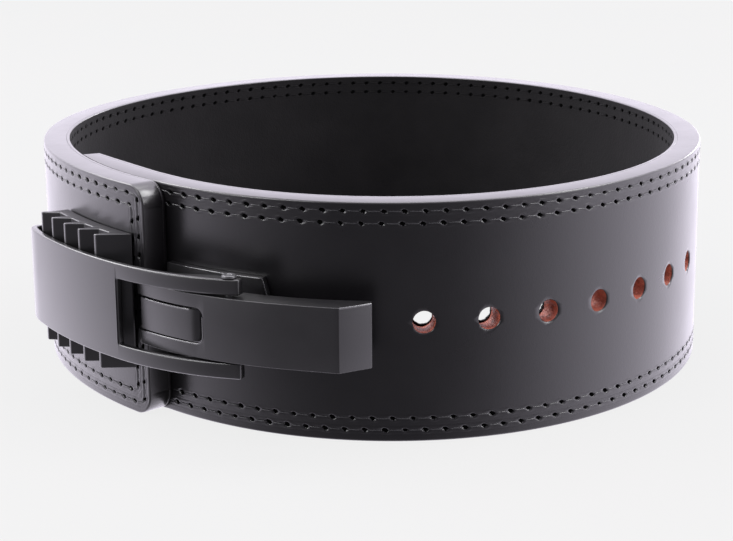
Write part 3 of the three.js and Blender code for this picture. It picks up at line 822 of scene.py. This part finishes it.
def base_edge():
    """The upper edge of the base's plate and the upper half of its round end."""
    level = BASE_TOP - 0.25
    end = [(BASE_END - BASE_ROUND * x ** 2 - 0.3, level, BASE_HALF * x) for x in (0.93, 0.85, 0.75, 0.65, 0.55, 0.45)]
    return edge_points(44, 82.0, lambda t: level, BASE_HALF - 0.3) + end


bead("slot_rim", slot_rim(), 0.45)
bead("tongue_edge", edge_points(40, 62.2, lambda t: lever_outer(t) - 0.42, TONGUE_HALF - 0.3), 0.45)
bead("tip_edge", tip_edge(), 0.42)
bead("base_edge", base_edge(), 0.35)


# ---- pins, posts and rivets ----
def dome(radius, low, high, steps=5):
    """Points of a rounded head from its rim to its top."""
    edge = min(radius * 0.45, high - low)
    return [*arc(radius - edge, high - edge, edge, 0, 90, steps), (0, high)]


def upright(t, n):
    return Matrix.Translation(Vector(spot(t, n, ROW)))


bail_pin = [(0, -20.7), (1.4, -20.7), (1.6, -20.5), (1.6, 21.0), (3.0, 21.0), (3.1, 21.1), (3.1, 21.6),
            (2.95, 21.95), (2.6, 22.15), (1.9, 22.2), (1.5, 22.1), (1.2, 21.9), (0.8, 22.0), (0, 22.05)]
adopt(turned("bail_pin_rod", bail_pin, upright(*BAIL_PIN), [STEEL_MAT]), "steel", "bail_pin")

lever_pin = [(0, -13.0), (1.7, -13.0), (1.9, -12.8), (1.9, 12.8), (1.7, 13.0), (0, 13.0)]
adopt(turned("lever_pin_rod", lever_pin, upright(*PIVOT), [STEEL_MAT]), "steel", "lever_pin")

inside = -WALL - CLEAR
post = [(0, inside - 1.5), (5.4, inside - 1.5), (6.4, inside - 1.25), (6.85, inside - 0.8), (7.0, inside),
        (4.35, inside), (4.35, 0), (2.5, 0), (2.5, 3.6), (4.5, 3.6), *dome(4.5, 3.6, 5.0)]
for number, t in enumerate(PUNCHES[:2], 1):
    adopt(turned(f"post_{number}", post, square_frame(t, 0, HOLE_ROW), [STEEL_MAT]), "steel",
          f"base_post_{number}")

top = RACK_FLOOR - CLEAR / 2
rivet = [(0, 0.3), (4.8, 0.3), (5.0, 0.5), (5.0, 1.5), (2.5, 1.5), (2.5, top - 1.7), (3.0, top), (0, top)]
for number, fin in enumerate((2, 4), 1):
    t = FIRST_FIN - FIN_PITCH * fin + FIN_REACH + (FIN_PITCH - FIN_ROOT) / 2
    adopt(turned(f"rivet_{number}", rivet, square_frame(t, 0, HOLE_ROW), [STEEL_MAT]), "steel",
          f"rack_rivet_{number}")


# ---- floor, light and camera ----
def floor(half=12, glow=0.824):
    """A pale floor that glows evenly, takes hardly any shadow and isn't mirrored in the belt."""
    m, tree, bsdf = node_material("pale_floor")
    noise = add(tree, "ShaderNodeTexNoise", Scale=3.0, Detail=2.0)
    link = tree.links.new
    link(add(tree, "ShaderNodeTexCoord").outputs["Object"], noise.inputs["Vector"])
    link(ramp(tree, noise.outputs["Fac"], [(0.3, (0.019, 0.02, 0.02)), (0.7, (0.021, 0.02, 0.02))]),
         bsdf.inputs["Base Color"])
    bsdf.inputs["Roughness"].default_value = 1.0
    bsdf.inputs["Specular IOR Level"].default_value = 0.0
    bsdf.inputs["Emission Color"].default_value = (1, 1, 1, 1)
    bsdf.inputs["Emission Strength"].default_value = glow
    corners = [(-half, -half, 0), (half, -half, 0), (half, half, 0), (-half, half, 0)]
    obj = new_object("floor", corners, [[0, 1, 2, 3]], [m])
    obj.visible_glossy = False


def softbox(name, place, aim, width, height, power):
    light = bpy.data.lights.new(name, "AREA")
    light.shape, light.size, light.size_y, light.energy = "RECTANGLE", width, height, power
    obj = bpy.data.objects.new(name, light)
    obj.location = place
    obj.rotation_euler = (Vector(aim) - Vector(place)).to_track_quat("-Z", "Y").to_euler()
    bpy.context.scene.collection.objects.link(obj)


def studio():
    """Soft light all round from the pale room, fading to dark behind the camera."""
    world = bpy.data.worlds.new("studio")
    world.use_nodes = True
    tree = world.node_tree
    link = tree.links.new
    toward = add(tree, "ShaderNodeVectorMath", operation="DOT_PRODUCT")
    link(add(tree, "ShaderNodeTexCoord").outputs["Generated"], toward.inputs[0])
    heading = math.radians(259)
    toward.inputs[1].default_value = (math.cos(heading), math.sin(heading), 0)
    front = add(tree, "ShaderNodeMapRange", clamp=True)
    front.inputs["From Min"].default_value, front.inputs["From Max"].default_value = -1, 1
    link(toward.outputs["Value"], front.inputs["Value"])
    tint = np.array([1.0, 0.945, 1.08]) / 1.08
    stops = [(0.0, 1.0), (0.38, 0.97), (0.5, 0.86), (0.62, 0.66), (0.72, 0.46), (0.82, 0.25), (0.9, 0.15),
             (0.96, 0.11), (1.0, 0.095)]
    shade = ramp(tree, front.outputs["Result"], [(p, tuple(tint * v)) for p, v in stops])
    background = tree.nodes["Background"]
    link(shade, background.inputs["Color"])
    background.inputs["Strength"].default_value = 2.88
    bpy.context.scene.world = world


floor()
softbox("right_box", (1.7, -0.7, 0.62), (0, 0, 0.05), 0.7, 0.5, 14)
softbox("left_box", (-1.7, -0.9, 0.62), (0, 0, 0.05), 0.7, 0.5, 8)
softbox("top_box", (0.1, 0.5, 1.9), (0, 0, 0.05), 1.0, 0.8, 14)
softbox("high_left_box", (-1.3, 0.62, 1.3), (-0.1, -0.1, 0.07), 1.5, 0.8, 38)
softbox("front_left_box", (-1.38, -1.0, 1.3), (-0.1, -0.15, 0.05), 0.75, 0.45, 18)
softbox("high_right_box", (1.25, 0.2, 1.55), (0, -0.1, 0.07), 0.9, 0.8, 36)
softbox("low_back_box", (1.15, 1.6, 0.42), (-0.1, -0.15, 0.09), 0.5, 0.5, 9)
studio()
bpy.context.scene.view_settings.view_transform = "Standard"

# The camera as fitted to the photo: focal length and width in pixels, angles, and place
FOCAL, PICTURE_WIDTH, SENSOR = 1896.43, 733, 36
PAN, TILT, ROLL = math.radians(1.126), math.radians(14.579), math.radians(-0.468)
CAMERA_AT = (-24.17, -897.61, 262.71)


def place_camera():
    camera = bpy.data.cameras.new("camera")
    camera.sensor_fit, camera.sensor_width = "HORIZONTAL", SENSOR
    camera.lens = SENSOR * FOCAL / PICTURE_WIDTH
    camera.clip_start, camera.clip_end = 0.05, 100
    obj = bpy.data.objects.new("camera", camera)
    ahead = Vector((math.sin(PAN) * math.cos(TILT), math.cos(PAN) * math.cos(TILT), -math.sin(TILT)))
    level = Vector((math.cos(PAN), -math.sin(PAN), 0))
    over = level.cross(ahead)
    right = math.cos(ROLL) * level + math.sin(ROLL) * over
    up = math.cos(ROLL) * over - math.sin(ROLL) * level
    turn = Matrix((right, up, -ahead)).transposed().to_4x4()
    turn.translation = Vector(metres(np.array(CAMERA_AT[:2]), CAMERA_AT[2]))
    obj.matrix_world = turn
    bpy.context.scene.collection.objects.link(obj)
    bpy.context.scene.camera = obj


place_camera()
